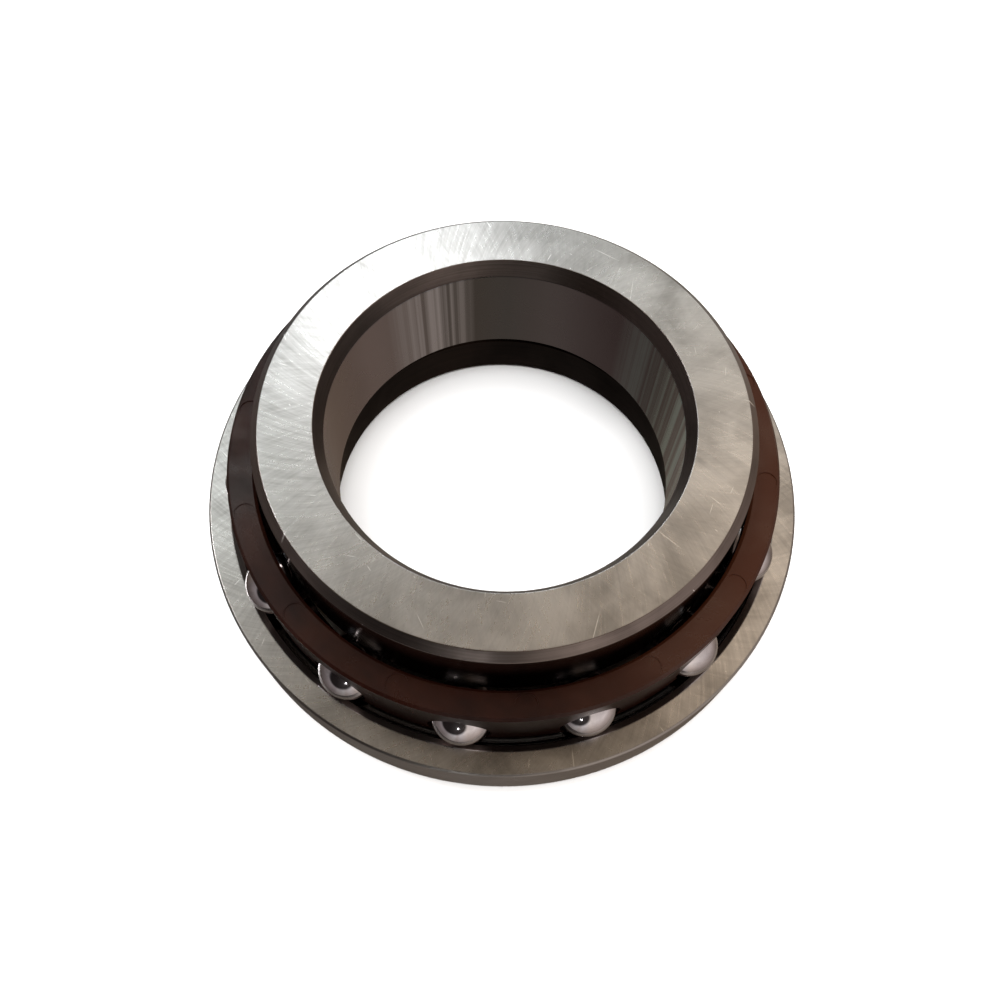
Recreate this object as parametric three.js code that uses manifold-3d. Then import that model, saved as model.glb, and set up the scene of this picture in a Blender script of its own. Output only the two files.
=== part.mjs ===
// A single-direction angular contact ball bearing, 26 x 47 x 15 mm, as used in a steering head.
// The outer ring lies flat on the ground and carries the raceway from below.
// The inner ring stands above it, and its shoulder presses down on the balls at 45 degrees.
// Between them a moulded cage spaces fourteen steel balls.
// Millimetres, +Z up along the bearing's axis, ground at z = 0.

import * as THREE from "three";
import { mergeVertices } from "three/addons/utils/BufferGeometryUtils.js";
import Module from "manifold-3d";

const wasm = await Module();
wasm.setup();

// Whole bearing
const BEARING_HEIGHT = 15;
const RING_SEGMENTS = 70; // facets round every turned piece, a multiple of the ball count
const ARC_STEPS = 6; // facets along one raceway in section

// Balls
const BALL_COUNT = 14;
const BALL_DIAMETER = 4.7625; // 3/16 inch
const BALL_RADIUS = BALL_DIAMETER / 2;
const BALL_DETAIL = 3; // subdivisions of the icosahedron
const PITCH_RADIUS = 19.4; // axis to ball centre
const BALL_HEIGHT = 6.2; // ground to ball centre
const FIRST_BALL_DEG = 5.8; // turn of ball_01 from +X
const BALL_STEP_DEG = 360 / BALL_COUNT;

// Raceways, both with their centre on the ball's centre
const RACEWAY_RADIUS = 0.52 * BALL_DIAMETER;

// Inner ring
const BORE_RADIUS = 13;
const INNER_FOOT = 5; // underside above the ground
const SHOULDER_RADIUS = 18.1; // cylindrical wall above the raceway
const NECK_RADIUS = PITCH_RADIUS - RACEWAY_RADIUS;
const BORE_LEAD_WIDTH = 0.6; // long lead-in chamfer at the top of the bore
const BORE_LEAD_DEPTH = 1.3;
const INNER_TOP_CHAMFER = 0.6;
const INNER_FOOT_CHAMFER = 0.5;

// Outer ring
const OUTER_RADIUS = 23.5;
const OUTER_TOP = 4.8; // ground flat face round the raceway
const LIP_TOP = 4.2; // flat floor that runs under the inner ring
const LIP_BORE_RADIUS = 13.9;
const LIP_CHAMFER = 0.3;
const RACEWAY_MOUTH_RADIUS = 21.75; // inner edge of the ground face
const RACEWAY_MOUTH_DEPTH = 0.25; // bevel between that face and the raceway
const OUTER_TOP_CHAMFER = 0.15;
const OUTER_FOOT_CHAMFER = 0.5;

// Cage
const CAGE_INNER_RADIUS = 18.7;
const CAGE_OUTER_RADIUS = 20.8;
const CAGE_BOTTOM = 4.9;
const CAGE_TOP = 10.1;
const CAGE_CHAMFER = 0.2;
const POCKET_CLEARANCE = 0.2;
const POCKET_RADIUS = BALL_RADIUS + POCKET_CLEARANCE;
const POCKET_SEGMENTS = 18;
const POCKET_RINGS = 12;

const steel = { color: 0x9c9891, roughness: 0.34, metalness: 1 };
const chrome = { color: 0xb9b6bb, roughness: 0.08, metalness: 1 };
const polymer = { color: 0x2b1713, roughness: 0.32, metalness: 0 };

// The angle, in radians, at which a raceway reaches a height above or below the ball's centre.
const raceAngleAtHeight = (rise) => Math.asin(rise / RACEWAY_RADIUS);

// The angle at which a raceway reaches a distance out from the ball's centre.
const raceAngleAtRadius = (run) => Math.acos(run / RACEWAY_RADIUS);

// Points [radius, height] along a raceway between two angles about the ball's centre.
function raceway(startAngle, endAngle) {
  return Array.from({ length: ARC_STEPS + 1 }, (_, step) => {
    const angle = startAngle + ((endAngle - startAngle) * step) / ARC_STEPS;
    return [
      PITCH_RADIUS + RACEWAY_RADIUS * Math.cos(angle),
      BALL_HEIGHT + RACEWAY_RADIUS * Math.sin(angle),
    ];
  });
}

// A closed outline of [radius, height] points, anticlockwise, turned about the Z axis.
function turned(outline) {
  const points = [...outline, outline[0]].map(([r, z]) => new THREE.Vector2(r, z));
  return new THREE.LatheGeometry(points, RING_SEGMENTS).rotateX(Math.PI / 2);
}

// The inner ring in section: bore, shoulder wall, raceway and neck.
function innerRingOutline() {
  const shoulderAngle = raceAngleAtRadius(SHOULDER_RADIUS - PITCH_RADIUS);
  return [
    [BORE_RADIUS, BEARING_HEIGHT - BORE_LEAD_DEPTH],
    [BORE_RADIUS, INNER_FOOT + INNER_FOOT_CHAMFER],
    [BORE_RADIUS + INNER_FOOT_CHAMFER, INNER_FOOT],
    [NECK_RADIUS - INNER_FOOT_CHAMFER, INNER_FOOT],
    [NECK_RADIUS, INNER_FOOT + INNER_FOOT_CHAMFER],
    ...raceway(Math.PI, shoulderAngle),
    [SHOULDER_RADIUS, BEARING_HEIGHT - INNER_TOP_CHAMFER],
    [SHOULDER_RADIUS - INNER_TOP_CHAMFER, BEARING_HEIGHT],
    [BORE_RADIUS + BORE_LEAD_WIDTH, BEARING_HEIGHT],
  ];
}

// The outer ring in section: lip under the inner ring, raceway, narrow ground face and outside wall.
function outerRingOutline() {
  const lipAngle = -Math.PI - raceAngleAtHeight(LIP_TOP - BALL_HEIGHT);
  const mouthAngle = raceAngleAtHeight(OUTER_TOP - RACEWAY_MOUTH_DEPTH - BALL_HEIGHT);
  return [
    [LIP_BORE_RADIUS + LIP_CHAMFER, 0],
    [OUTER_RADIUS - OUTER_FOOT_CHAMFER, 0],
    [OUTER_RADIUS, OUTER_FOOT_CHAMFER],
    [OUTER_RADIUS, OUTER_TOP - OUTER_TOP_CHAMFER],
    [OUTER_RADIUS - OUTER_TOP_CHAMFER, OUTER_TOP],
    [RACEWAY_MOUTH_RADIUS, OUTER_TOP],
    ...raceway(mouthAngle, lipAngle),
    [LIP_BORE_RADIUS + LIP_CHAMFER, LIP_TOP],
    [LIP_BORE_RADIUS, LIP_TOP - LIP_CHAMFER],
    [LIP_BORE_RADIUS, LIP_CHAMFER],
  ];
}

// The cage in section before its pockets are cut: a plain band with its edges broken.
function cageOutline() {
  return [
    [CAGE_INNER_RADIUS, CAGE_BOTTOM],
    [CAGE_OUTER_RADIUS, CAGE_BOTTOM],
    [CAGE_OUTER_RADIUS, CAGE_TOP - CAGE_CHAMFER],
    [CAGE_OUTER_RADIUS - CAGE_CHAMFER, CAGE_TOP],
    [CAGE_INNER_RADIUS + CAGE_CHAMFER, CAGE_TOP],
    [CAGE_INNER_RADIUS, CAGE_TOP - CAGE_CHAMFER],
  ];
}

// A three.js geometry as a manifold-3d solid.
function solidOf(geometry) {
  geometry.deleteAttribute("normal");
  geometry.deleteAttribute("uv");
  const merged = mergeVertices(geometry);
  return new wasm.Manifold(
    new wasm.Mesh({
      numProp: 3,
      vertProperties: merged.attributes.position.array,
      triVerts: new Uint32Array(merged.index.array),
    }),
  );
}

// A manifold-3d solid as a three.js geometry.
function geometryOf(solid) {
  const mesh = solid.getMesh();
  const geometry = new THREE.BufferGeometry();
  geometry.setAttribute("position", new THREE.BufferAttribute(mesh.vertProperties, 3));
  geometry.setIndex(new THREE.BufferAttribute(mesh.triVerts, 1));
  geometry.computeVertexNormals();
  return geometry;
}

// The turn of a ball from +X, in radians; a half number is the middle of a cage bar.
const ballTurn = (index) => THREE.MathUtils.degToRad(FIRST_BALL_DEG + index * BALL_STEP_DEG);

// The centre of a ball.
function ballCentre(index) {
  const turn = ballTurn(index);
  return new THREE.Vector3(PITCH_RADIUS * Math.cos(turn), PITCH_RADIUS * Math.sin(turn), BALL_HEIGHT);
}

// The cage: the band with a round pocket for each ball, open outwards, inwards and below.
function cageGeometry() {
  let cage = solidOf(turned(cageOutline()));
  for (let index = 0; index < BALL_COUNT; index += 1) {
    const pocket = new THREE.SphereGeometry(POCKET_RADIUS, POCKET_SEGMENTS, POCKET_RINGS);
    const centre = ballCentre(index);
    pocket.rotateX(Math.PI / 2).rotateZ(ballTurn(index)).translate(centre.x, centre.y, centre.z);
    cage = cage.subtract(solidOf(pocket));
  }
  return geometryOf(cage);
}

function piece(name, geometry, look) {
  const mesh = new THREE.Mesh(geometry, new THREE.MeshStandardMaterial(look));
  mesh.name = name;
  return mesh;
}

// One ball, turned to face out from the axis.
function ball(index) {
  const name = `ball_${String(index + 1).padStart(2, "0")}`;
  const mesh = piece(name, new THREE.IcosahedronGeometry(BALL_RADIUS, BALL_DETAIL), chrome);
  mesh.position.copy(ballCentre(index));
  mesh.rotation.z = ballTurn(index);
  return mesh;
}

const bearing = new THREE.Group();
bearing.name = "angular_contact_bearing";
bearing.add(piece("outer_ring", turned(outerRingOutline()), steel));
bearing.add(piece("inner_ring", turned(innerRingOutline()), steel));
bearing.add(piece("cage", cageGeometry(), polymer));
for (let index = 0; index < BALL_COUNT; index += 1) bearing.add(ball(index));

export default bearing;
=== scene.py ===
"""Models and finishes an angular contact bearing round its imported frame.

Two steel rings, a moulded cage and its balls are drawn in section, turned about the
bearing's axis and given their ground, polished and moulded surfaces.
Lengths are in metres, +Z runs up along the bearing's axis, and the ground is at z = 0.
"""

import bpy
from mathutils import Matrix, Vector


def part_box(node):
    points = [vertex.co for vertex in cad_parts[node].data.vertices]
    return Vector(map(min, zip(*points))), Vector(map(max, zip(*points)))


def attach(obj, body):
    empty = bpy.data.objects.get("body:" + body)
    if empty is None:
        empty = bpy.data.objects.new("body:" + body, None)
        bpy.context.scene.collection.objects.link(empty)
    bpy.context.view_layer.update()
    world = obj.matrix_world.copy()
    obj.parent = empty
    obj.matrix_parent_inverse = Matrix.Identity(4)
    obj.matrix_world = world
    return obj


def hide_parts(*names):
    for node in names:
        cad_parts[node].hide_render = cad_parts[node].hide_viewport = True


bl_info = {
    "name": "Angular contact bearing",
    "version": (1, 0, 0),
    "blender": (4, 5, 0),
    "location": "3D View > Sidebar > Bearing",
    "description": "Models the rings, cage and balls of an angular contact bearing",
    "category": "Add Mesh",
}

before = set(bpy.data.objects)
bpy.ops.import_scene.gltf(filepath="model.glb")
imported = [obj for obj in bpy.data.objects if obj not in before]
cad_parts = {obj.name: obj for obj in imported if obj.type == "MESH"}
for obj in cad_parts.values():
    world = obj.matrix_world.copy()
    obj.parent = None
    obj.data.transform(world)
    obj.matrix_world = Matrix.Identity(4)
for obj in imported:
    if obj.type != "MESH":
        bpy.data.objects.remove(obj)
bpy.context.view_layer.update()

import math

import bmesh
import bpy
from bpy.props import FloatProperty, FloatVectorProperty, IntProperty, PointerProperty
from mathutils import Vector

MM = 0.001
MERGE_DISTANCE = 0.0005 * MM  # points closer than this are one point
BALL_NODES = sorted(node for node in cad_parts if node.startswith("ball_"))

EDGE_SEGMENTS = 3  # faces across a rounded edge
SHARP_RING_EDGE = math.radians(18)  # the rings' edges that turn by more than this are rounded
SHARP_CAGE_EDGE = math.radians(30)  # the same for the cage
POCKET_SIDES = 64  # faces once round a pocket's cutter
POCKET_RINGS = 32  # faces from pole to pole of that cutter
MARK_SIDES = 40  # faces once round an ejector mark
MARK_CUTTER_HEIGHT = 1 * MM  # most of it stands clear of the cage
BALL_CUTS = 19  # cuts across each face of the cube that a ball is made from

# Room for rounded edges and flats when faces are picked by where their middles lie.
FACE_MARGIN = 0.01 * MM
WALL_MARGIN = 0.02 * MM
MOUTH_MARGIN = 0.03 * MM


# ---------------------------------------------------------------- sizes read from the frame


def bottom(node):
    """Height of a node's underside."""
    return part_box(node)[0].z


def top(node):
    """Height of a node's top."""
    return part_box(node)[1].z


def reach(node):
    """Outside radius of a node, measured across its nearest facets."""
    low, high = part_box(node)
    return min(high.x, high.y, -low.x, -low.y)


def hole_radius(node):
    """Radius of the hole through a node."""
    return min(math.hypot(v.co.x, v.co.y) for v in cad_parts[node].data.vertices)


def centre_of(node):
    """Middle of a node's box, which for a ball is its centre."""
    low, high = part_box(node)
    return (low + high) / 2


FIRST_BALL = centre_of(BALL_NODES[0])
PITCH_RADIUS = math.hypot(FIRST_BALL.x, FIRST_BALL.y)
BALL_HEIGHT = FIRST_BALL.z
BALL_STEP = math.tau / len(BALL_NODES)
BALL_TRACK = (PITCH_RADIUS, BALL_HEIGHT)  # the ball's centre in section


# ---------------------------------------------------------------- properties


def length(name, description, default):
    """A length that can be changed in the sidebar."""
    return FloatProperty(
        name=name, description=description, default=default, min=0, unit="LENGTH", precision=6
    )


def colour(name, description, default):
    """A colour that can be changed in the sidebar."""
    return FloatVectorProperty(
        name=name, description=description, default=default, min=0, max=1, size=3, subtype="COLOR"
    )


class SharedSizes(bpy.types.PropertyGroup):
    """Sizes that more than one piece uses."""

    ring_steps: IntProperty(
        name="Ring steps", description="Faces once round a turned piece", default=280, min=28
    )
    arc_steps: IntProperty(
        name="Arc steps", description="Faces along a raceway in section", default=18, min=6
    )
    ball_radius: length("Ball radius", "Half of a ball's 3/16 inch diameter", 2.38125 * MM)
    raceway_radius: length("Raceway radius", "In section, 52% of a ball's diameter", 2.4765 * MM)
    edge_round: length("Edge round", "Width of the tumbled edges on the rings", 0.06 * MM)


class OuterRingSizes(bpy.types.PropertyGroup):
    """Section of the outer ring."""

    radius: length("Outside radius", "Outside wall", reach("outer_ring"))
    height: length("Height", "Ground to the ground face", top("outer_ring"))
    lip_radius: length("Lip radius", "Hole through the lip", hole_radius("outer_ring"))
    lip_height: length("Lip height", "Ground to the lip's floor", 4.2 * MM)
    lip_chamfer: length("Lip chamfer", "Chamfers of the lip's hole", 0.3 * MM)
    mouth_radius: length("Mouth radius", "Inner edge of the ground face", 21.75 * MM)
    mouth_depth: length("Mouth depth", "Bevel between ground face and raceway", 0.25 * MM)
    top_chamfer: length("Top chamfer", "Outer edge of the ground face", 0.15 * MM)
    foot_chamfer: length("Foot chamfer", "Outer edge of the underside", 0.5 * MM)


class InnerRingSizes(bpy.types.PropertyGroup):
    """Section of the inner ring."""

    bore_radius: length("Bore radius", "Bore", hole_radius("inner_ring"))
    height: length("Top", "Ground to the top face", top("inner_ring"))
    foot: length("Foot", "Ground to the underside", bottom("inner_ring"))
    shoulder_radius: length("Shoulder radius", "Outside wall", reach("inner_ring"))
    lead_width: length("Lead-in width", "Lead-in of the bore, across", 0.6 * MM)
    lead_depth: length("Lead-in depth", "Lead-in of the bore, along the axis", 1.3 * MM)
    top_chamfer: length("Top chamfer", "Outer edge of the top face", 0.6 * MM)
    foot_chamfer: length("Foot chamfer", "Edges of the underside", 0.5 * MM)


class CageSizes(bpy.types.PropertyGroup):
    """Section of the cage, its pockets and its ejector marks."""

    inner_radius: length("Inner radius", "Inside wall", hole_radius("cage"))
    outer_radius: length("Outer radius", "Outside wall", reach("cage"))
    foot: length("Foot", "Ground to the underside", bottom("cage"))
    height: length("Top", "Ground to the top face", top("cage"))
    chamfer: length("Chamfer", "Edges of the top face", 0.2 * MM)
    pocket_clearance: length("Pocket clearance", "Room between ball and pocket", 0.2 * MM)
    mark_radius: length("Mark radius", "Round marks that the ejector pins leave", 0.8 * MM)
    mark_depth: length("Mark depth", "Depth of those marks", 0.07 * MM)
    edge_round: length("Edge round", "Width of the moulded edges", 0.04 * MM)


class Finishes(bpy.types.PropertyGroup):
    """Colours of the bearing's surfaces."""

    ground_light: colour("Ground steel", "Ground faces, crests of the lay", (0.78, 0.77, 0.76))
    ground_dark: colour("Ground steel, dark", "Ground faces, grooves of the lay", (0.30, 0.29, 0.28))
    wall_light: colour("Turned wall", "The outer ring's wall", (0.46, 0.44, 0.42))
    wall_dark: colour("Turned wall, dark", "The outer ring's wall in its grooves", (0.30, 0.28, 0.265))
    # Painted reflections: the bore's bright and cool streaks stand in for the light that it reflects.
    bore_streak_reflection: colour("Bore", "Honed bore, light streaks", (0.72, 0.74, 0.80))
    bore_blue_streak_reflection: colour("Bore, blue", "Honed bore, cool streaks", (0.80, 1.0, 1.0))
    # Painted reflection: the lighter tone on the bore's left-hand side.
    bore_left_reflection: colour("Bore, worn", "Honed bore where it is rubbed", (0.56, 0.51, 0.53))
    # Lighter towards the bore's right-hand side.
    bore_right_tone: colour("Bore, clean", "Honed bore where it is least stained", (0.34, 0.28, 0.29))
    # Kept dark as a painted reflection of the dark surroundings that the bore would reflect.
    bore_dark: colour("Bore, dark", "Honed bore between its streaks", (0.155, 0.15, 0.145))
    # Near black: dark hardening scale, darkened further as painted shade for the lip down under the
    # inner ring.
    lip_scale_and_shade_light: colour("Hardening scale", "Unground skin of the lip", (0.022, 0.014, 0.011))
    lip_scale_and_shade_dark: colour("Hardening scale, dark", "Unground skin, darkest", (0.006, 0.004, 0.0035))
    chamfer_light: colour("Chamfer", "Turned and hardened chamfers", (0.29, 0.245, 0.228))
    chamfer_dark: colour("Chamfer, dark", "Chamfers in their grooves", (0.155, 0.13, 0.12))
    # Kept dark as painted shade for the gap between the parts; the darker colour is also where the oil
    # lies thickest.
    race_shaded: colour("Raceway", "Raceways and the inner ring's wall", (0.24, 0.215, 0.20))
    race_oil_and_shade: colour("Raceway, dark", "The same under the thickest oil", (0.12, 0.10, 0.09))
    ball_light: colour("Ball", "Polished balls", (0.88, 0.85, 0.89))
    ball_dark: colour("Ball, dark", "Polished balls under an oil film", (0.62, 0.60, 0.63))
    cage_light: colour("Cage", "Moulded polymer, reddish flow", (0.014, 0.0032, 0.0015))
    # Painted sheen: the warm room's reflection on the cage's right-hand side.
    cage_warm_sheen: colour("Cage, red", "Moulded polymer where it is palest", (0.026, 0.0068, 0.0026))
    cage_dark: colour("Cage, dark", "Moulded polymer", (0.0030, 0.0009, 0.0006))
    scratch: colour("Fresh scratch", "Bright steel in a handling scratch", (1.0, 0.99, 0.97))


class StageSizes(bpy.types.PropertyGroup):
    """Floor and camera."""

    floor_size: length("Floor size", "Side of the square floor", 8.0)
    floor_colour: colour("Floor colour", "Pale floor", (0.90, 0.90, 0.90))
    camera_place: FloatVectorProperty(
        name="Camera place",
        description="Where the camera stands",
        default=(-0.00019, -0.0340, 0.0713),
        size=3,
        subtype="TRANSLATION",
        unit="LENGTH",
    )
    camera_tilt: FloatProperty(
        name="Camera tilt",
        description="Turn up from straight down",
        default=math.radians(25.66),
        subtype="ANGLE",
        unit="ROTATION",
    )
    camera_roll: FloatProperty(
        name="Camera roll",
        description="Turn about the line of sight",
        default=math.radians(1.77),
        subtype="ANGLE",
        unit="ROTATION",
    )
    camera_lens: FloatProperty(
        name="Lens", description="Focal length in millimetres", default=33.3, min=10, max=200
    )


# ---------------------------------------------------------------- drawing and turning


def start_outline(radius, height):
    """Puts down an outline's first point, in the half plane from the axis towards +X."""
    bpy.ops.object.select_all(action="DESELECT")
    bpy.ops.mesh.primitive_plane_add(size=MM, location=(0, 0, 0))
    bpy.ops.object.mode_set(mode="EDIT")
    bpy.ops.mesh.select_mode(type="VERT")
    bpy.ops.mesh.merge(type="CENTER")
    bpy.ops.transform.translate(value=(radius, 0, height))


def draw_line(*points):
    """Extrudes the outline's end along (radius, height) points, from the first, where it stands."""
    for (radius, height), (next_radius, next_height) in zip(points, points[1:]):
        step = (next_radius - radius, 0, next_height - height)
        bpy.ops.mesh.extrude_vertices_move(TRANSFORM_OT_translate={"value": step})


def draw_arc(centre, turn, steps):
    """Carries the outline's end round a centre, anticlockwise for a positive turn."""
    bpy.ops.mesh.spin(steps=steps, angle=turn, center=(centre[0], 0, centre[1]), axis=(0, 1, 0))


def merge_all():
    """Joins the points that lie in the same place."""
    bpy.ops.mesh.select_all(action="SELECT")
    bpy.ops.mesh.remove_doubles(threshold=MERGE_DISTANCE)


def turn_outline(steps):
    """Turns the closed outline once round the bearing's axis, with its faces pointing out."""
    merge_all()
    bpy.ops.mesh.spin(steps=steps, angle=math.tau, center=(0, 0, 0), axis=(0, 0, 1))
    merge_all()
    bpy.ops.mesh.normals_make_consistent(inside=False)
    bpy.ops.object.mode_set(mode="OBJECT")
    return bpy.context.active_object


def copy_round_axis():
    """Copies everything in the mesh that is being edited to each of the other balls' places."""
    count = len(BALL_NODES) - 1
    bpy.ops.mesh.select_all(action="SELECT")
    bpy.ops.mesh.spin(
        steps=count, angle=count * BALL_STEP, center=(0, 0, 0), axis=(0, 0, 1), dupli=True
    )


def make_only_active(piece):
    """Selects one object, deselects the rest and makes it active."""
    bpy.ops.object.select_all(action="DESELECT")
    piece.select_set(True)
    bpy.context.view_layer.objects.active = piece


def cut_away(piece, cutter):
    """Subtracts a cutter from a piece and removes the cutter."""
    make_only_active(piece)
    bpy.ops.object.modifier_add(type="BOOLEAN")
    cut = piece.modifiers[-1]
    cut.operation = "DIFFERENCE"
    cut.solver = "EXACT"
    cut.object = cutter
    bpy.ops.object.modifier_apply(modifier=cut.name)
    make_only_active(cutter)
    bpy.ops.object.delete()
    make_only_active(piece)


def break_edges(piece, width, sharpest_kept):
    """Rounds the edges that turn by more than an angle, and keeps the faces beside them flat."""
    make_only_active(piece)
    bpy.ops.object.shade_smooth()
    bpy.ops.object.modifier_add(type="BEVEL")
    bevel = piece.modifiers[-1]
    bevel.width = width
    bevel.segments = EDGE_SEGMENTS
    bevel.limit_method = "ANGLE"
    bevel.angle_limit = sharpest_kept
    bevel.harden_normals = True
    bpy.ops.object.modifier_apply(modifier=bevel.name)


def finish_faces(piece, material, belongs):
    """Gives a material to the faces whose centre, as (radius, height), passes a test."""
    make_only_active(piece)
    bpy.ops.object.material_slot_add()
    piece.active_material = material
    bpy.ops.object.mode_set(mode="EDIT")
    bpy.ops.mesh.select_mode(type="FACE")
    bpy.ops.mesh.select_all(action="DESELECT")
    mesh = bmesh.from_edit_mesh(piece.data)
    for face in mesh.faces:
        centre = face.calc_center_median()
        face.select_set(belongs(math.hypot(centre.x, centre.y), centre.z))
    bmesh.update_edit_mesh(piece.data)
    bpy.ops.object.material_slot_assign()
    bpy.ops.object.mode_set(mode="OBJECT")


def everywhere(radius, height):
    """The test that every face passes."""
    return True


def on_raceway(radius, height, raceway_radius):
    """Whether a place in section lies on a raceway."""
    distance = math.hypot(radius - PITCH_RADIUS, height - BALL_HEIGHT)
    return abs(distance - raceway_radius) < WALL_MARGIN


def put_in_frame(piece, name, node):
    """Names a finished piece and lets it stand for its node on that node's body."""
    piece.name = name
    piece.data.name = name
    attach(piece, node)
    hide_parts(node)


# ---------------------------------------------------------------- shader nodes

# The noise values that become 0 and 1 in each pattern.
OUTWARD_CONTRAST = (0.32, 0.68)
ROUND_CONTRAST = (0.34, 0.66)
SMUDGE_CONTRAST = (0.35, 0.65)

OUTWARD_CHANGE = 260.0  # how fast outward lines change along their run, per metre
ROUND_CHANGE = 1.6  # how fast round lines change on their way round the axis
SCRATCH_TURNS = 2.2  # how far the directions of scratches spread, in radians
SCRATCH_CORE = 0.3  # share of a scratch's width at full depth
SCRATCH_RUN = 0.4  # share of a scratch's length at full depth

# A ground face's broad and crossing lines, as shares of its fine lines and of their lean.
BROAD_LINES = 0.35
CROSSING_LINES = 0.6
CROSSING_LEAN = -0.6
LAY_SHARE = (0.40, 0.80)  # how much of its tone the lines give, away from the side of painted sheen and on it
MARK_STRENGTH = 0.75  # how far a scratch's bright steel covers the face

TURNED_SMUDGE_SHARE = 0.5  # how much of a turned surface's tone the smudges give
CAGE_SMUDGE_SHARE = 0.4  # the same on the cage
ROUGHNESS_SPREAD = 0.2  # how far smudges change a turned surface's roughness, as a share of it
STREAK_RANGE = (0.3, 0.75)  # the values of the bore's lines that a painted reflection streak rises between
STREAK_STRENGTH = (0.15, 1.0)  # a streak's strength at those two
OIL_RANGE = (0.3, 1.0)  # the values of the cage's smudges that its oil rises between
OIL_COAT = (0.0, 0.3)  # the oil's coat at those two

# Marks from handling: cells per metre, length, width and the share of cells that hold a mark.
LONG_SCRATCHES = {"Cells": 300.0, "Length": 1.6 * MM, "Width": 0.045 * MM, "Share": 0.40}
SHORT_SCRATCHES = {"Cells": 700.0, "Length": 0.6 * MM, "Width": 0.034 * MM, "Share": 0.09}
HAIR_SCRATCHES = {"Cells": 900.0, "Length": 0.6 * MM, "Width": 0.012 * MM, "Share": 0.3}
NICKS = {"Cells": 700.0, "Length": 0.7 * MM, "Width": 0.09 * MM, "Share": 0.10}
NICK_COLOUR = (1.0, 0.97, 0.93)

# Sides of the bearing: the turn of a side's middle from +X and its reach, in degrees.
# Painted sheen: the side where the ground faces' lay shows most, as it would where it catches the
# light.
LAY_SHEEN_SIDE = (165, 95)
# Painted reflection: the bore's lighter left-hand side.
BORE_LEFT_REFLECTION_SIDE = (165, 50)
# The bore's lighter right-hand side.
BORE_RIGHT_SIDE = (15, 75)
# Painted reflections: where the bore's bright streaks stand, and where its cool blue ones stand.
BRIGHT_STREAK_REFLECTION_SIDE = (119, 17)
BLUE_STREAK_REFLECTION_SIDE = (10, 38)
# Painted sheen: the cage's warm right-hand side.
WARM_SHEEN_SIDE = (-5, 75)
SIDE_CORE = 0.35  # share of a side's reach over which its mask stays 1


def add_node(tree, kind, feeds=None, **settings):
    """Adds a node whose inputs take a constant or another node's output."""
    node = tree.nodes.new(kind)
    for name, value in settings.items():
        setattr(node, name, value)
    for name, value in (feeds or {}).items():
        if isinstance(value, bpy.types.NodeSocket):
            tree.links.new(value, node.inputs[name])
        else:
            node.inputs[name].default_value = value
    return node


def maths(tree, operation, *values):
    """The result of a Math node."""
    return add_node(tree, "ShaderNodeMath", dict(enumerate(values)), operation=operation).outputs[0]


def vector_maths(tree, operation, *values):
    """A Vector Math node."""
    return add_node(tree, "ShaderNodeVectorMath", dict(enumerate(values)), operation=operation)


def scaled(tree, vector, factor):
    """A vector times a number."""
    feeds = {0: vector, "Scale": factor}
    return add_node(tree, "ShaderNodeVectorMath", feeds, operation="SCALE").outputs[0]


def turned_about_axis(tree, vector, angle):
    """A vector turned about +Z."""
    feeds = {"Vector": vector, "Angle": angle}
    return add_node(tree, "ShaderNodeVectorRotate", feeds, rotation_type="Z_AXIS").outputs[0]


def flattened(tree, place):
    """A place carried along the bearing's axis to height 0."""
    return vector_maths(tree, "MULTIPLY", place, (1, 1, 0)).outputs[0]


def distance_out(tree, place):
    """How far a place is from the bearing's axis."""
    return vector_maths(tree, "LENGTH", flattened(tree, place)).outputs["Value"]


def direction_out(tree, place):
    """The direction from the bearing's axis to a place."""
    return vector_maths(tree, "NORMALIZE", flattened(tree, place)).outputs[0]


def noise(tree, vector, scale, detail=2.0, roughness=0.5, distortion=0.0):
    """A noise value from 0 to 1."""
    feeds = {
        "Vector": vector,
        "Scale": scale,
        "Detail": detail,
        "Roughness": roughness,
        "Distortion": distortion,
    }
    return add_node(tree, "ShaderNodeTexNoise", feeds).outputs["Fac"]


def remap(tree, value, low, high, to_low=0.0, to_high=1.0):
    """A value carried from one range to another and held inside it."""
    feeds = {"Value": value, "From Min": low, "From Max": high, "To Min": to_low, "To Max": to_high}
    return add_node(tree, "ShaderNodeMapRange", feeds).outputs["Result"]


def blend_values(tree, factor, first, second):
    """Two values mixed by a mask. The Mix node's value sockets are its inputs 2 and 3."""
    return add_node(tree, "ShaderNodeMix", {0: factor, 2: first, 3: second}).outputs[0]


def colour_input(colour_or_output):
    """What a colour socket takes: another node's output as it is, or a colour made opaque."""
    if isinstance(colour_or_output, bpy.types.NodeSocket):
        return colour_or_output
    return (*colour_or_output, 1.0)


def blend_colours(tree, factor, first, second, blend_type="MIX"):
    """Two colours mixed by a mask. The Mix node's colour sockets are its inputs 6 and 7."""
    feeds = {0: factor, 6: colour_input(first), 7: colour_input(second)}
    node = add_node(tree, "ShaderNodeMix", feeds, data_type="RGBA", blend_type=blend_type)
    return node.outputs[2]


def start_group(name, inputs, output):
    """Starts a node group: its tree, the sockets it is given and the node it puts out through."""
    tree = bpy.data.node_groups.new(name, "ShaderNodeTree")
    for label, kind in inputs.items():
        tree.interface.new_socket(name=label, in_out="INPUT", socket_type=kind)
    tree.interface.new_socket(name=output, in_out="OUTPUT", socket_type="NodeSocketFloat")
    given = tree.nodes.new("NodeGroupInput").outputs
    result = tree.nodes.new("NodeGroupOutput").inputs
    return tree, given, result


def place_group(tree, name, feeds):
    """Places a node group in a material, made by its function the first time it is asked for."""
    group = bpy.data.node_groups.get(name) or GROUPS[name]()
    return add_node(tree, "ShaderNodeGroup", feeds, node_tree=group).outputs[0]


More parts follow.
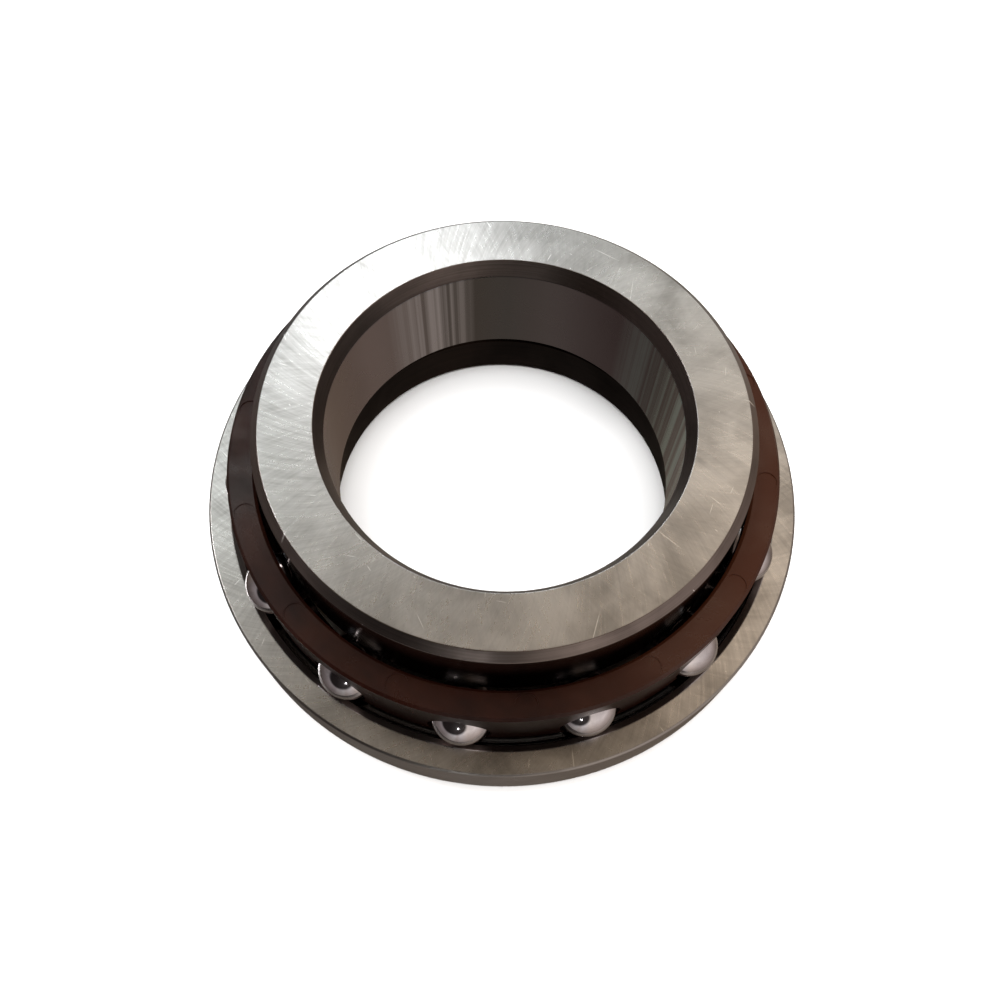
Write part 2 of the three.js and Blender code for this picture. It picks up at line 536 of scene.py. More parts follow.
def outward_lines_group():
    """Fine lines that run outwards across a face, leaning over as they go."""
    inputs = {"Vector": "NodeSocketVector", "Lean": "NodeSocketFloat", "Lines": "NodeSocketFloat"}
    tree, given, result = start_group("Outward lines", inputs, "Lines")
    distance = distance_out(tree, given["Vector"])
    lean = maths(tree, "MULTIPLY", distance, given["Lean"])
    leaning = turned_about_axis(tree, direction_out(tree, given["Vector"]), lean)
    spread = scaled(tree, leaning, given["Lines"])
    change = maths(tree, "MULTIPLY", distance, OUTWARD_CHANGE)
    run_out = add_node(tree, "ShaderNodeCombineXYZ", {"Z": change}).outputs[0]
    place = vector_maths(tree, "ADD", spread, run_out).outputs[0]
    lines = noise(tree, place, scale=1.0, detail=3.0, roughness=0.65)
    tree.links.new(remap(tree, lines, *OUTWARD_CONTRAST), result["Lines"])
    return tree


def round_lines_group():
    """Fine lines that run round the axis, as a lathe or a hone leaves them."""
    inputs = {"Vector": "NodeSocketVector", "Lines": "NodeSocketFloat"}
    tree, given, result = start_group("Round lines", inputs, "Lines")
    height = add_node(tree, "ShaderNodeSeparateXYZ", {0: given["Vector"]}).outputs["Z"]
    across = maths(tree, "MULTIPLY", distance_out(tree, given["Vector"]), given["Lines"])
    along = maths(tree, "MULTIPLY", height, given["Lines"])
    feed = add_node(tree, "ShaderNodeCombineXYZ", {"X": across, "Z": along}).outputs[0]
    change = scaled(tree, direction_out(tree, given["Vector"]), ROUND_CHANGE)
    place = vector_maths(tree, "ADD", feed, change).outputs[0]
    lines = noise(tree, place, scale=1.0, detail=3.0, roughness=0.7)
    tree.links.new(remap(tree, lines, *ROUND_CONTRAST), result["Lines"])
    return tree


def scratches_group():
    """Straight scratches, at most one in each cell of a scattered pattern."""
    inputs = {
        "Vector": "NodeSocketVector",
        "Cells": "NodeSocketFloat",
        "Length": "NodeSocketFloat",
        "Width": "NodeSocketFloat",
        "Share": "NodeSocketFloat",
    }
    tree, given, result = start_group("Handling scratches", inputs, "Scratches")
    feeds = {"Vector": given["Vector"], "Scale": given["Cells"]}
    cells = add_node(tree, "ShaderNodeTexVoronoi", feeds, voronoi_dimensions="2D").outputs
    chance = add_node(tree, "ShaderNodeSeparateColor", {0: cells["Color"]}).outputs
    from_middle = vector_maths(tree, "SUBTRACT", given["Vector"], cells["Position"]).outputs[0]
    turn = maths(tree, "MULTIPLY", chance["Red"], SCRATCH_TURNS)
    turned = turned_about_axis(tree, from_middle, turn)
    parts = add_node(tree, "ShaderNodeSeparateXYZ", {0: turned}).outputs
    half_length = maths(tree, "MULTIPLY", given["Length"], chance["Blue"])
    across = maths(tree, "DIVIDE", maths(tree, "ABSOLUTE", parts["Y"]), given["Width"])
    along = maths(tree, "DIVIDE", maths(tree, "ABSOLUTE", parts["X"]), half_length)
    sides = remap(tree, across, SCRATCH_CORE, 1.0, 1.0, 0.0)
    ends = remap(tree, along, SCRATCH_RUN, 1.0, 1.0, 0.0)
    present = maths(tree, "LESS_THAN", chance["Green"], given["Share"])
    line = maths(tree, "MULTIPLY", sides, ends)
    tree.links.new(maths(tree, "MULTIPLY", line, present), result["Scratches"])
    return tree


def smudges_group():
    """Soft cloudy patches of oil and fingerprints."""
    inputs = {"Vector": "NodeSocketVector", "Scale": "NodeSocketFloat"}
    tree, given, result = start_group("Smudges", inputs, "Patches")
    patches = noise(tree, given["Vector"], given["Scale"], detail=4.0, roughness=0.55, distortion=0.4)
    tree.links.new(remap(tree, patches, *SMUDGE_CONTRAST), result["Patches"])
    return tree


GROUPS = {
    "Outward lines": outward_lines_group,
    "Round lines": round_lines_group,
    "Handling scratches": scratches_group,
    "Smudges": smudges_group,
}


def outward_lines(tree, place, lean, lines):
    """Lines that run outwards: how far they lean over per metre and how close they lie."""
    return place_group(tree, "Outward lines", {"Vector": place, "Lean": lean, "Lines": lines})


def round_lines(tree, place, lines):
    """Lines that run round the axis, by how close they lie."""
    return place_group(tree, "Round lines", {"Vector": place, "Lines": lines})


def scratches(tree, place, marks):
    """One layer of scratches or nicks."""
    return place_group(tree, "Handling scratches", {"Vector": place, **marks})


def smudges(tree, place, scale):
    """Smudges, smaller for a larger scale."""
    return place_group(tree, "Smudges", {"Vector": place, "Scale": scale})


def towards(tree, place, side):
    """A mask that is 1 round the middle of one side of the bearing and fades to 0 at its ends."""
    middle, reach_round = (math.radians(degrees) for degrees in side)
    direction = (math.cos(middle), math.sin(middle), 0)
    nearness = vector_maths(tree, "DOT_PRODUCT", direction_out(tree, place), direction)
    return remap(
        tree, nearness.outputs["Value"], math.cos(reach_round), math.cos(SIDE_CORE * reach_round)
    )


# ---------------------------------------------------------------- materials


def start_material(name):
    """Starts a material: its tree, the object's own coordinates and its Principled shader."""
    material = bpy.data.materials.new(name)
    material.use_nodes = True
    tree = material.node_tree
    shader = tree.nodes["Principled BSDF"]
    place = tree.nodes.new("ShaderNodeTexCoord").outputs["Object"]
    return material, tree, place, shader


def add_relief(tree, shader, height, depth):
    """Gives the surface a relief of a height from 0 to 1, times a depth in metres."""
    bump = add_node(tree, "ShaderNodeBump", {"Height": height, "Strength": 1.0, "Distance": depth})
    tree.links.new(bump.outputs["Normal"], shader.inputs["Normal"])


def vary_roughness(tree, shader, value, at_0, at_1):
    """Lets the roughness follow a value from 0 to 1."""
    tree.links.new(remap(tree, value, 0.0, 1.0, at_0, at_1), shader.inputs["Roughness"])


def finish_metal(tree, shader, base, height, depth):
    """Makes the shader a metal with a base colour and a relief."""
    tree.links.new(base, shader.inputs["Base Color"])
    shader.inputs["Metallic"].default_value = 1.0
    add_relief(tree, shader, height, depth)


def ground_steel(finishes, name, lean, lines):
    """A ground face: broad, fine and crossing lines, scratches from handling, soft smudges, and
    painted sheen that brings the lines out on one side.
    """
    material, tree, place, shader = start_material(name)
    broad = outward_lines(tree, place, lean, lines=BROAD_LINES * lines)
    fine = outward_lines(tree, place, lean, lines)
    crossing = outward_lines(tree, place, lean=CROSSING_LEAN * lean, lines=CROSSING_LINES * lines)
    all_three = maths(tree, "ADD", maths(tree, "ADD", broad, fine), crossing)
    lay = maths(tree, "MULTIPLY", all_three, 1 / 3)
    patches = smudges(tree, place, scale=230.0)
    long_marks = scratches(tree, place, LONG_SCRATCHES)
    short_marks = scratches(tree, place, SHORT_SCRATCHES)
    marks = maths(tree, "MAXIMUM", long_marks, short_marks)
    marks = maths(tree, "MULTIPLY", marks, MARK_STRENGTH)
    # Painted sheen: the lines give more of the tone on the left-hand side, standing in for the light
    # that the lay catches there.
    lay_share = remap(tree, towards(tree, place, LAY_SHEEN_SIDE), 0.0, 1.0, *LAY_SHARE)
    tone = blend_values(tree, lay_share, patches, lay)
    steel = blend_colours(tree, tone, finishes.ground_dark, finishes.ground_light)
    base = blend_colours(tree, marks, steel, finishes.scratch)
    vary_roughness(tree, shader, lay, at_0=0.34, at_1=0.24)
    finish_metal(tree, shader, base, maths(tree, "SUBTRACT", lay, marks), depth=0.002 * MM)
    return material


def turned_steel(name, light, dark, roughness, lines=9000.0, depth=0.002 * MM, nicked=False):
    """A wall or chamfer with fine lines round the axis, a film of oil and, if nicked, nicks."""
    material, tree, place, shader = start_material(name)
    turned = round_lines(tree, place, lines)
    patches = smudges(tree, place, scale=190.0)
    tone = blend_values(tree, TURNED_SMUDGE_SHARE, turned, patches)
    base = blend_colours(tree, tone, dark, light)
    if nicked:
        base = blend_colours(tree, scratches(tree, place, NICKS), base, NICK_COLOUR)
    change = ROUGHNESS_SPREAD * roughness
    vary_roughness(tree, shader, patches, at_0=roughness + change, at_1=roughness - change)
    finish_metal(tree, shader, base, turned, depth)
    return material


def raceway_steel(finishes, name):
    """A polished raceway under oil, in colours kept dark as painted shade."""
    return turned_steel(
        name, finishes.race_shaded, finishes.race_oil_and_shade, roughness=0.13, depth=0.0004 * MM
    )


def honed_bore(finishes):
    """The bore: smooth steel kept dark as a painted reflection, with painted reflections as bright
    streaks along the axis in two places and on its left-hand side, and lighter towards the right.
    """
    material, tree, place, shader = start_material("Honed bore")
    fine = round_lines(tree, place, lines=7000.0)
    patches = smudges(tree, place, scale=150.0)
    streaks = outward_lines(tree, place, lean=0.0, lines=13.0)
    strength = remap(tree, streaks, *STREAK_RANGE, *STREAK_STRENGTH)
    # Painted reflections: bright streaks on the upper left and cool blue streaks on the right.
    light = maths(tree, "MULTIPLY", towards(tree, place, BRIGHT_STREAK_REFLECTION_SIDE), strength)
    blue = maths(tree, "MULTIPLY", towards(tree, place, BLUE_STREAK_REFLECTION_SIDE), strength)
    # Lighter towards the right-hand side, and a painted reflection on the left-hand side.
    right_side_tone = towards(tree, place, BORE_RIGHT_SIDE)
    left_side_reflection = towards(tree, place, BORE_LEFT_REFLECTION_SIDE)
    base = blend_colours(tree, right_side_tone, finishes.bore_dark, finishes.bore_right_tone)
    base = blend_colours(tree, left_side_reflection, base, finishes.bore_left_reflection)
    base = blend_colours(tree, light, base, finishes.bore_streak_reflection)
    base = blend_colours(tree, blue, base, finishes.bore_blue_streak_reflection)
    vary_roughness(tree, shader, patches, at_0=0.34, at_1=0.24)
    finish_metal(tree, shader, base, fine, depth=0.0012 * MM)
    return material


def polished_ball(finishes):
    """Mirror-polished steel with a thin uneven film of oil and hair scratches."""
    material, tree, place, shader = start_material("Polished ball steel")
    patches = smudges(tree, place, scale=520.0)
    grooves = maths(tree, "MULTIPLY", scratches(tree, place, HAIR_SCRATCHES), -1.0)
    base = blend_colours(tree, patches, finishes.ball_dark, finishes.ball_light)
    vary_roughness(tree, shader, patches, at_0=0.14, at_1=0.05)
    finish_metal(tree, shader, base, grooves, depth=0.0006 * MM)
    return material


def moulded_polymer(finishes):
    """Dark brown polymer: fine grain, flow out from the gates, oil on it in places, and a painted warm
    sheen on its right-hand side.
    """
    material, tree, place, shader = start_material("Moulded cage polymer")
    flow = outward_lines(tree, place, lean=0.0, lines=3.2)
    patches = smudges(tree, place, scale=240.0)
    grain = noise(tree, place, scale=9000.0, detail=3.0, roughness=0.6)
    tone = blend_values(tree, CAGE_SMUDGE_SHARE, flow, patches)
    brown = blend_colours(tree, tone, finishes.cage_dark, finishes.cage_light)
    # Painted sheen: redder towards the right-hand side, for the warm reflection there.
    base = blend_colours(tree, towards(tree, place, WARM_SHEEN_SIDE), brown, finishes.cage_warm_sheen)
    tree.links.new(base, shader.inputs["Base Color"])
    vary_roughness(tree, shader, patches, at_0=0.42, at_1=0.26)
    oil = remap(tree, patches, *OIL_RANGE, *OIL_COAT)
    tree.links.new(oil, shader.inputs["Coat Weight"])
    shader.inputs["Coat Roughness"].default_value = 0.12
    shader.inputs["Specular IOR Level"].default_value = 0.24
    add_relief(tree, shader, maths(tree, "ADD", grain, patches), depth=0.004 * MM)
    return material


# ---------------------------------------------------------------- the pieces


def outer_ring_outline(sizes, shared):
    """The outer ring in section: underside, outside wall, ground face, raceway and lip."""
    race = shared.raceway_radius
    mouth_angle = math.asin((sizes.height - sizes.mouth_depth - BALL_HEIGHT) / race)
    lip_angle = -math.pi - math.asin((sizes.lip_height - BALL_HEIGHT) / race)
    lip_end = (PITCH_RADIUS + race * math.cos(lip_angle), sizes.lip_height)
    start = (sizes.lip_radius + sizes.lip_chamfer, 0)
    start_outline(*start)
    draw_line(
        start,
        (sizes.radius - sizes.foot_chamfer, 0),
        (sizes.radius, sizes.foot_chamfer),
        (sizes.radius, sizes.height - sizes.top_chamfer),
        (sizes.radius - sizes.top_chamfer, sizes.height),
        (sizes.mouth_radius, sizes.height),
        (PITCH_RADIUS + race * math.cos(mouth_angle), sizes.height - sizes.mouth_depth),
    )
    draw_arc(BALL_TRACK, lip_angle - mouth_angle, shared.arc_steps)
    draw_line(
        lip_end,
        (sizes.lip_radius + sizes.lip_chamfer, sizes.lip_height),
        (sizes.lip_radius, sizes.lip_height - sizes.lip_chamfer),
        (sizes.lip_radius, sizes.lip_chamfer),
        start,
    )


def inner_ring_outline(sizes, shared):
    """The inner ring in section: lead-in, bore, underside, raceway, wall and top face."""
    race = shared.raceway_radius
    neck_radius = PITCH_RADIUS - race
    shoulder_angle = math.acos((sizes.shoulder_radius - PITCH_RADIUS) / race)
    shoulder_height = BALL_HEIGHT + race * math.sin(shoulder_angle)
    start = (sizes.bore_radius, sizes.height - sizes.lead_depth)
    start_outline(*start)
    draw_line(
        start,
        (sizes.bore_radius, sizes.foot + sizes.foot_chamfer),
        (sizes.bore_radius + sizes.foot_chamfer, sizes.foot),
        (neck_radius - sizes.foot_chamfer, sizes.foot),
        (neck_radius, sizes.foot + sizes.foot_chamfer),
        (neck_radius, BALL_HEIGHT),
    )
    draw_arc(BALL_TRACK, shoulder_angle - math.pi, shared.arc_steps)
    draw_line(
        (sizes.shoulder_radius, shoulder_height),
        (sizes.shoulder_radius, sizes.height - sizes.top_chamfer),
        (sizes.shoulder_radius - sizes.top_chamfer, sizes.height),
        (sizes.bore_radius + sizes.lead_width, sizes.height),
        start,
    )


def cage_outline(sizes):
    """The cage in section before its pockets are cut."""
    start = (sizes.inner_radius, sizes.foot)
    start_outline(*start)
    draw_line(
        start,
        (sizes.outer_radius, sizes.foot),
        (sizes.outer_radius, sizes.height - sizes.chamfer),
        (sizes.outer_radius - sizes.chamfer, sizes.height),
        (sizes.inner_radius + sizes.chamfer, sizes.height),
        (sizes.inner_radius, sizes.height - sizes.chamfer),
        start,
    )


def copied_cutter():
    """The cutter that was just added, with a copy at each of the other balls' turns."""
    bpy.ops.object.transform_apply(location=True)
    bpy.ops.object.mode_set(mode="EDIT")
    copy_round_axis()
    bpy.ops.object.mode_set(mode="OBJECT")
    return bpy.context.active_object


def pocket_cutters(radius):
    """A round cutter at each ball's place."""
    bpy.ops.object.select_all(action="DESELECT")
    bpy.ops.mesh.primitive_uv_sphere_add(
        segments=POCKET_SIDES, ring_count=POCKET_RINGS, radius=radius, location=FIRST_BALL
    )
    return copied_cutter()


def mark_cutters(sizes):
    """A shallow round cutter on the cage's top, halfway between every two balls."""
    turn = math.atan2(FIRST_BALL.y, FIRST_BALL.x) + BALL_STEP / 2
    across = (sizes.inner_radius + sizes.outer_radius) / 2
    height = sizes.height - sizes.mark_depth + MARK_CUTTER_HEIGHT / 2
    bpy.ops.object.select_all(action="DESELECT")
    bpy.ops.mesh.primitive_cylinder_add(
        vertices=MARK_SIDES,
        radius=sizes.mark_radius,
        depth=MARK_CUTTER_HEIGHT,
        location=(across * math.cos(turn), across * math.sin(turn), height),
    )
    return copied_cutter()


def round_ball(radius):
    """A ball at the first ball's place: a cube cut into small squares and cast to a sphere."""
    bpy.ops.object.select_all(action="DESELECT")
    bpy.ops.mesh.primitive_cube_add(size=2 * radius, location=FIRST_BALL)
    ball = bpy.context.active_object
    bpy.ops.object.mode_set(mode="EDIT")
    bpy.ops.mesh.subdivide(number_cuts=BALL_CUTS)
    bpy.ops.object.mode_set(mode="OBJECT")
    bpy.ops.object.modifier_add(type="CAST")
    cast = ball.modifiers[-1]
    cast.factor = 1.0
    cast.use_radius_as_size = False
    cast.size = radius
    bpy.ops.object.modifier_apply(modifier=cast.name)
    bpy.ops.object.transform_apply(location=True)
    bpy.ops.object.shade_smooth()
    return ball


def copy_ball(ball, node):
    """A copy of the first ball, with its own mesh, at another ball's place."""
    make_only_active(ball)
    bpy.ops.object.duplicate(linked=False)
    copy = bpy.context.active_object
    bpy.ops.object.mode_set(mode="EDIT")
    bpy.ops.mesh.select_all(action="SELECT")
    bpy.ops.transform.translate(value=centre_of(node) - FIRST_BALL)
    bpy.ops.object.mode_set(mode="OBJECT")
    return copy


def finish_outer_ring(ring, sizes, shared, finishes):
    """Gives the outer ring's wall, chamfers, ground face, lip and raceway their steel."""
    wall = turned_steel("Outer ring wall", finishes.wall_light, finishes.wall_dark, roughness=0.34)
    chamfer = turned_steel(
        "Outer ring chamfer", finishes.chamfer_light, finishes.chamfer_dark, roughness=0.40
    )
    face = ground_steel(finishes, "Outer ring ground face", lean=45.0, lines=110.0)
    # The lip's skin: dark scale and painted shade.
    skin = turned_steel(
        "Hardened skin and painted shade on the lip", finishes.lip_scale_and_shade_light, finishes.lip_scale_and_shade_dark, roughness=0.45, lines=2500.0
    )
    race = raceway_steel(finishes, "Outer raceway")
    mouth = sizes.mouth_radius - MOUTH_MARGIN
    lip_edge = sizes.lip_radius + sizes.lip_chamfer
    finish_faces(ring, wall, everywhere)
    finish_faces(ring, chamfer, lambda radius, height: radius < mouth and height > sizes.lip_height)
    finish_faces(ring, face, lambda radius, height: height > sizes.height - FACE_MARGIN)
    finish_faces(ring, skin, lambda radius, height: radius < lip_edge and height > FACE_MARGIN)
    finish_faces(ring, race, lambda radius, height: on_raceway(radius, height, shared.raceway_radius))


def finish_inner_ring(ring, sizes, shared, finishes):
    """Gives the inner ring's wall, chamfers, ground face, bore and raceway their steel."""
    # Painted shade: the wall takes the raceways' darkened colours.
    wall = turned_steel("Inner ring wall", finishes.race_shaded, finishes.race_oil_and_shade, roughness=0.16)
    chamfer = turned_steel(
        "Inner ring chamfer",
        finishes.chamfer_light,
        finishes.chamfer_dark,
        roughness=0.36,
        nicked=True,
    )
    face = ground_steel(finishes, "Inner ring ground face", lean=30.0, lines=100.0)
    bore = honed_bore(finishes)
    race = raceway_steel(finishes, "Inner raceway")
    lead_start = sizes.height - sizes.lead_depth
    bore_edge = sizes.bore_radius + WALL_MARGIN
    wall_edge = sizes.shoulder_radius - WALL_MARGIN
    finish_faces(ring, wall, everywhere)
    finish_faces(ring, chamfer, lambda radius, height: radius < wall_edge and height > lead_start)
    finish_faces(ring, face, lambda radius, height: height > sizes.height - FACE_MARGIN)
    finish_faces(ring, bore, lambda radius, height: radius < bore_edge)
    finish_faces(ring, race, lambda radius, height: on_raceway(radius, height, shared.raceway_radius))


class BEARING_OT_outer_ring(bpy.types.Operator):
    """Turn the outer ring, with its ground face, raceway and lip"""

    bl_idname = "bearing.outer_ring"
    bl_label = "Outer ring"
    bl_options = {"REGISTER", "UNDO"}

    def execute(self, context):
        sizes = context.scene.bearing_outer_ring
        shared = context.scene.bearing_shared
        outer_ring_outline(sizes, shared)
        ring = turn_outline(shared.ring_steps)
        break_edges(ring, shared.edge_round, SHARP_RING_EDGE)
        finish_outer_ring(ring, sizes, shared, context.scene.bearing_finishes)
        put_in_frame(ring, "outer_ring_turned", "outer_ring")
        return {"FINISHED"}


class BEARING_OT_inner_ring(bpy.types.Operator):
    """Turn the inner ring, with its ground top, lead-in, bore and raceway"""

    bl_idname = "bearing.inner_ring"
    bl_label = "Inner ring"
    bl_options = {"REGISTER", "UNDO"}

    def execute(self, context):
        sizes = context.scene.bearing_inner_ring
        shared = context.scene.bearing_shared
        inner_ring_outline(sizes, shared)
        ring = turn_outline(shared.ring_steps)
        break_edges(ring, shared.edge_round, SHARP_RING_EDGE)
        finish_inner_ring(ring, sizes, shared, context.scene.bearing_finishes)
        put_in_frame(ring, "inner_ring_turned", "inner_ring")
        return {"FINISHED"}


class BEARING_OT_cage(bpy.types.Operator):
    """Mould the cage, with its pockets and ejector marks"""

    bl_idname = "bearing.cage"
    bl_label = "Cage"
    bl_options = {"REGISTER", "UNDO"}

    def execute(self, context):
        sizes = context.scene.bearing_cage
        shared = context.scene.bearing_shared
        cage_outline(sizes)
        cage = turn_outline(shared.ring_steps)
        cut_away(cage, pocket_cutters(shared.ball_radius + sizes.pocket_clearance))
        cut_away(cage, mark_cutters(sizes))
        break_edges(cage, sizes.edge_round, SHARP_CAGE_EDGE)
        finish_faces(cage, moulded_polymer(context.scene.bearing_finishes), everywhere)
        put_in_frame(cage, "cage_moulded", "cage")
        return {"FINISHED"}


class BEARING_OT_balls(bpy.types.Operator):
    """Grind and polish the balls"""

    bl_idname = "bearing.balls"
    bl_label = "Balls"
    bl_options = {"REGISTER", "UNDO"}

    def execute(self, context):
        first = round_ball(context.scene.bearing_shared.ball_radius)
        finish_faces(first, polished_ball(context.scene.bearing_finishes), everywhere)
        balls = [first] + [copy_ball(first, node) for node in BALL_NODES[1:]]
        for ball, node in zip(balls, BALL_NODES):
            put_in_frame(ball, f"polished_{node}", node)
        return {"FINISHED"}


# ---------------------------------------------------------------- floor, lights and camera


FLOOR_DROP = 0.01 * MM  # keeps the floor clear of the bearing's underside
FLOOR_SHADE = 0.97  # how bright the floor's duller patches are beside the rest
CAMERA_REACH = (1 * MM, 10)  # the nearest and farthest that the camera sees

# The surround's colours from behind the camera, 0, to the window's side, 1.
SIDE_COLOURS = (
    (0.0, (0.80, 0.77, 0.76)),
    (0.42, (0.50, 0.46, 0.43)),
    (0.52, (0.38, 0.34, 0.31)),
    (0.64, (0.42, 0.37, 0.315)),
    (0.70, (0.50, 0.45, 0.395)),
    (0.79, (0.58, 0.56, 0.53)),
    (0.87, (0.68, 0.74, 0.76)),
    (1.0, (0.90, 0.97, 1.0)),
)

# How much of them is left from straight down, 0, through the horizon, 0.5, to straight up, 1.
RISE_COLOURS = (
    (0.0, (0.36, 0.33, 0.31)),
    (0.14, (0.38, 0.345, 0.32)),
    (0.36, (0.72, 0.69, 0.67)),
    (0.50, (1.0, 1.0, 1.0)),
    (0.915, (1.0, 1.0, 1.0)),
    (0.948, (0.74, 0.70, 0.64)),
    (0.975, (0.64, 0.58, 0.50)),
    (0.993, (0.33, 0.285, 0.235)),
    (1.0, (0.25, 0.21, 0.17)),
)

# How much of them is left from the left-hand side, 0, to the right-hand side, 1.
ACROSS_COLOURS = (
    (0.0, (0.36, 0.34, 0.35)),
    (0.22, (0.42, 0.40, 0.41)),
    (0.38, (0.97, 1.0, 1.0)),
    (0.42, (0.82, 0.79, 0.76)),
    (0.48, (1.0, 1.0, 1.0)),
    (0.62, (1.0, 0.93, 0.85)),
    (1.0, (1.0, 0.93, 0.90)),
)

# How much of them is left round a dark figure, by the cosine of the angle from its middle.
FIGURE_COLOURS = (
    (0.74, (1.0, 1.0, 1.0)),
    (0.82, (0.05, 0.044, 0.042)),
)

WINDOW_SIDE = (-0.10, 0.98, 0.10)  # the direction of the surround's brightest part
FIGURE_SIDE = (-0.40, -0.83, 0.39)  # the direction of the dark figure's middle
BACKDROP = (0.93, 0.93, 0.93)

# The lights: name, place, side of the square, watts, tint and whether the metals reflect it.
LIGHTS = (
    ("window_light", (-0.066, 0.287, 0.373), 0.085, 0.135, (0.97, 0.99, 1.0), True),
    ("cool_lamp", (-0.200, 0.195, 0.395), 0.12, 0.066, (0.90, 1.0, 1.0), True),
    ("warm_lamp", (0.17, 0.15, 0.45), 0.20, 0.06, (1.0, 0.80, 0.62), True),
    ("side_window", (-0.34, 0.10, 0.35), 0.08, 0.45, (1.0, 0.98, 0.97), True),
    ("glint_lamp", (-0.06, -0.37, 0.10), 0.02, 0.025, (1.0, 0.98, 0.95), True),
    ("overhead_fill", (0.0, -0.02, 0.6), 0.5, 7.0, (1.0, 1.0, 1.0), False),
)


def lay_floor(sizes):
    """A plain pale floor with a faint unevenness, which the metals don't reflect."""
    bpy.ops.object.select_all(action="DESELECT")
    bpy.ops.mesh.primitive_plane_add(size=sizes.floor_size, location=(0, 0, -FLOOR_DROP))
    floor = bpy.context.active_object
    floor.name = "studio_floor"
    material, tree, place, shader = start_material("Pale studio floor")
    patches = smudges(tree, place, scale=30.0)
    duller = tuple(FLOOR_SHADE * part for part in sizes.floor_colour)
    base = blend_colours(tree, patches, duller, sizes.floor_colour)
    tree.links.new(base, shader.inputs["Base Color"])
    shader.inputs["Roughness"].default_value = 0.8
    shader.inputs["Specular IOR Level"].default_value = 0.2
    floor.data.materials.append(material)
    floor.visible_glossy = False


def colour_ramp(tree, value, stops):
    """A Color Ramp through (position, colour) stops."""
    node = add_node(tree, "ShaderNodeValToRGB", {"Fac": value})
    elements = node.color_ramp.elements
    elements.remove(elements[1])
    elements[0].position = stops[0][0]
    elements[0].color = colour_input(stops[0][1])
    for position, rgb in stops[1:]:
        elements.new(position).color = colour_input(rgb)
    return node.outputs["Color"]


def light_sky():
    """A soft surround, brightest on the window's side, with a plain pale backdrop in view."""
    world = bpy.data.worlds.new("Soft studio")
    bpy.context.scene.world = world
    world.use_nodes = True
    tree = world.node_tree
    direction = add_node(tree, "ShaderNodeTexCoord").outputs["Generated"]
    parts = add_node(tree, "ShaderNodeSeparateXYZ", {0: direction}).outputs
    side = vector_maths(tree, "DOT_PRODUCT", direction, WINDOW_SIDE).outputs["Value"]
    by_side = colour_ramp(tree, remap(tree, side, -1.0, 1.0), SIDE_COLOURS)
    by_rise = colour_ramp(tree, remap(tree, parts["Z"], -1.0, 1.0), RISE_COLOURS)
    by_across = colour_ramp(tree, remap(tree, parts["X"], -1.0, 1.0), ACROSS_COLOURS)
    figure = vector_maths(tree, "DOT_PRODUCT", direction, FIGURE_SIDE).outputs["Value"]
    by_figure = colour_ramp(tree, figure, FIGURE_COLOURS)
    surround = blend_colours(tree, 1.0, by_side, by_rise, "MULTIPLY")
    surround = blend_colours(tree, 1.0, surround, by_across, "MULTIPLY")
    surround = blend_colours(tree, 1.0, surround, by_figure, "MULTIPLY")
    in_view = add_node(tree, "ShaderNodeLightPath").outputs["Is Camera Ray"]
    shown = blend_colours(tree, in_view, surround, BACKDROP)
    tree.links.new(shown, tree.nodes["Background"].inputs["Color"])


def hang_light(name, place, size, watts, tint, seen_in_gloss):
    """A square soft light that faces the bearing."""
    bpy.ops.object.light_add(type="AREA", location=place)
    light = bpy.context.active_object
    light.name = name
    light.rotation_euler = (-Vector(place)).to_track_quat("-Z", "Y").to_euler()
    light.data.size = size
    light.data.energy = watts
    light.data.color = tint
    light.visible_glossy = seen_in_gloss


def place_camera(sizes):
    """The camera, close above the bearing's front edge."""
    bpy.ops.object.camera_add(location=sizes.camera_place)
    camera = bpy.context.active_object
    camera.name = "camera"
    camera.rotation_mode = "ZYX"
    camera.rotation_euler = (sizes.camera_tilt, 0, sizes.camera_roll)
    camera.data.lens = sizes.camera_lens
    camera.data.clip_start, camera.data.clip_end = CAMERA_REACH
    bpy.context.scene.camera = camera


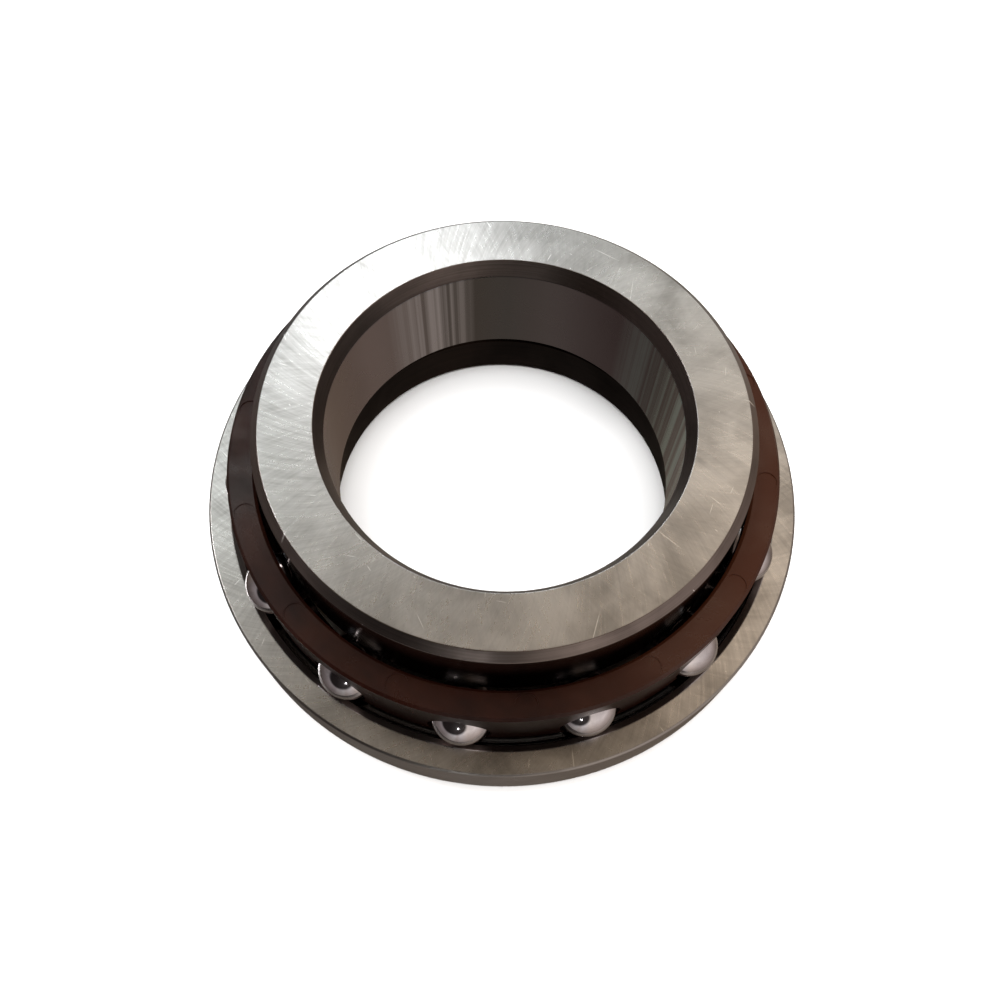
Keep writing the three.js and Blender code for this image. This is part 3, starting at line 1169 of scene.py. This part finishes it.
class BEARING_OT_stage(bpy.types.Operator):
    """Lay the floor, hang the lights and place the camera"""

    bl_idname = "bearing.stage"
    bl_label = "Stage"
    bl_options = {"REGISTER", "UNDO"}

    def execute(self, context):
        sizes = context.scene.bearing_stage
        lay_floor(sizes)
        light_sky()
        for light in LIGHTS:
            hang_light(*light)
        place_camera(sizes)
        context.scene.view_settings.view_transform = "Standard"
        return {"FINISHED"}


# ---------------------------------------------------------------- sidebar and registration


class BEARING_PT_sidebar(bpy.types.Panel):
    """Lists the bearing's pieces, sizes and finishes"""

    bl_idname = "BEARING_PT_sidebar"
    bl_label = "Angular contact bearing"
    bl_space_type = "VIEW_3D"
    bl_region_type = "UI"
    bl_category = "Bearing"

    def draw(self, context):
        for group_name in PROPERTY_GROUPS:
            box = self.layout.box()
            settings = getattr(context.scene, group_name)
            for name in settings.bl_rna.properties.keys():
                if name not in {"rna_type", "name"}:
                    box.prop(settings, name)
        for operator in OPERATORS:
            self.layout.operator(operator.bl_idname)


PROPERTY_GROUPS = {
    "bearing_shared": SharedSizes,
    "bearing_outer_ring": OuterRingSizes,
    "bearing_inner_ring": InnerRingSizes,
    "bearing_cage": CageSizes,
    "bearing_finishes": Finishes,
    "bearing_stage": StageSizes,
}

OPERATORS = (
    BEARING_OT_outer_ring,
    BEARING_OT_inner_ring,
    BEARING_OT_cage,
    BEARING_OT_balls,
    BEARING_OT_stage,
)


def register():
    for name, group in PROPERTY_GROUPS.items():
        bpy.utils.register_class(group)
        setattr(bpy.types.Scene, name, PointerProperty(type=group))
    for operator in OPERATORS:
        bpy.utils.register_class(operator)
    bpy.utils.register_class(BEARING_PT_sidebar)


def unregister():
    bpy.utils.unregister_class(BEARING_PT_sidebar)
    for operator in reversed(OPERATORS):
        bpy.utils.unregister_class(operator)
    for name, group in reversed(PROPERTY_GROUPS.items()):
        delattr(bpy.types.Scene, name)
        bpy.utils.unregister_class(group)


def main():
    register()
    bpy.ops.bearing.outer_ring()
    bpy.ops.bearing.inner_ring()
    bpy.ops.bearing.cage()
    bpy.ops.bearing.balls()
    bpy.ops.bearing.stage()


if __name__ == "__main__":
    main()
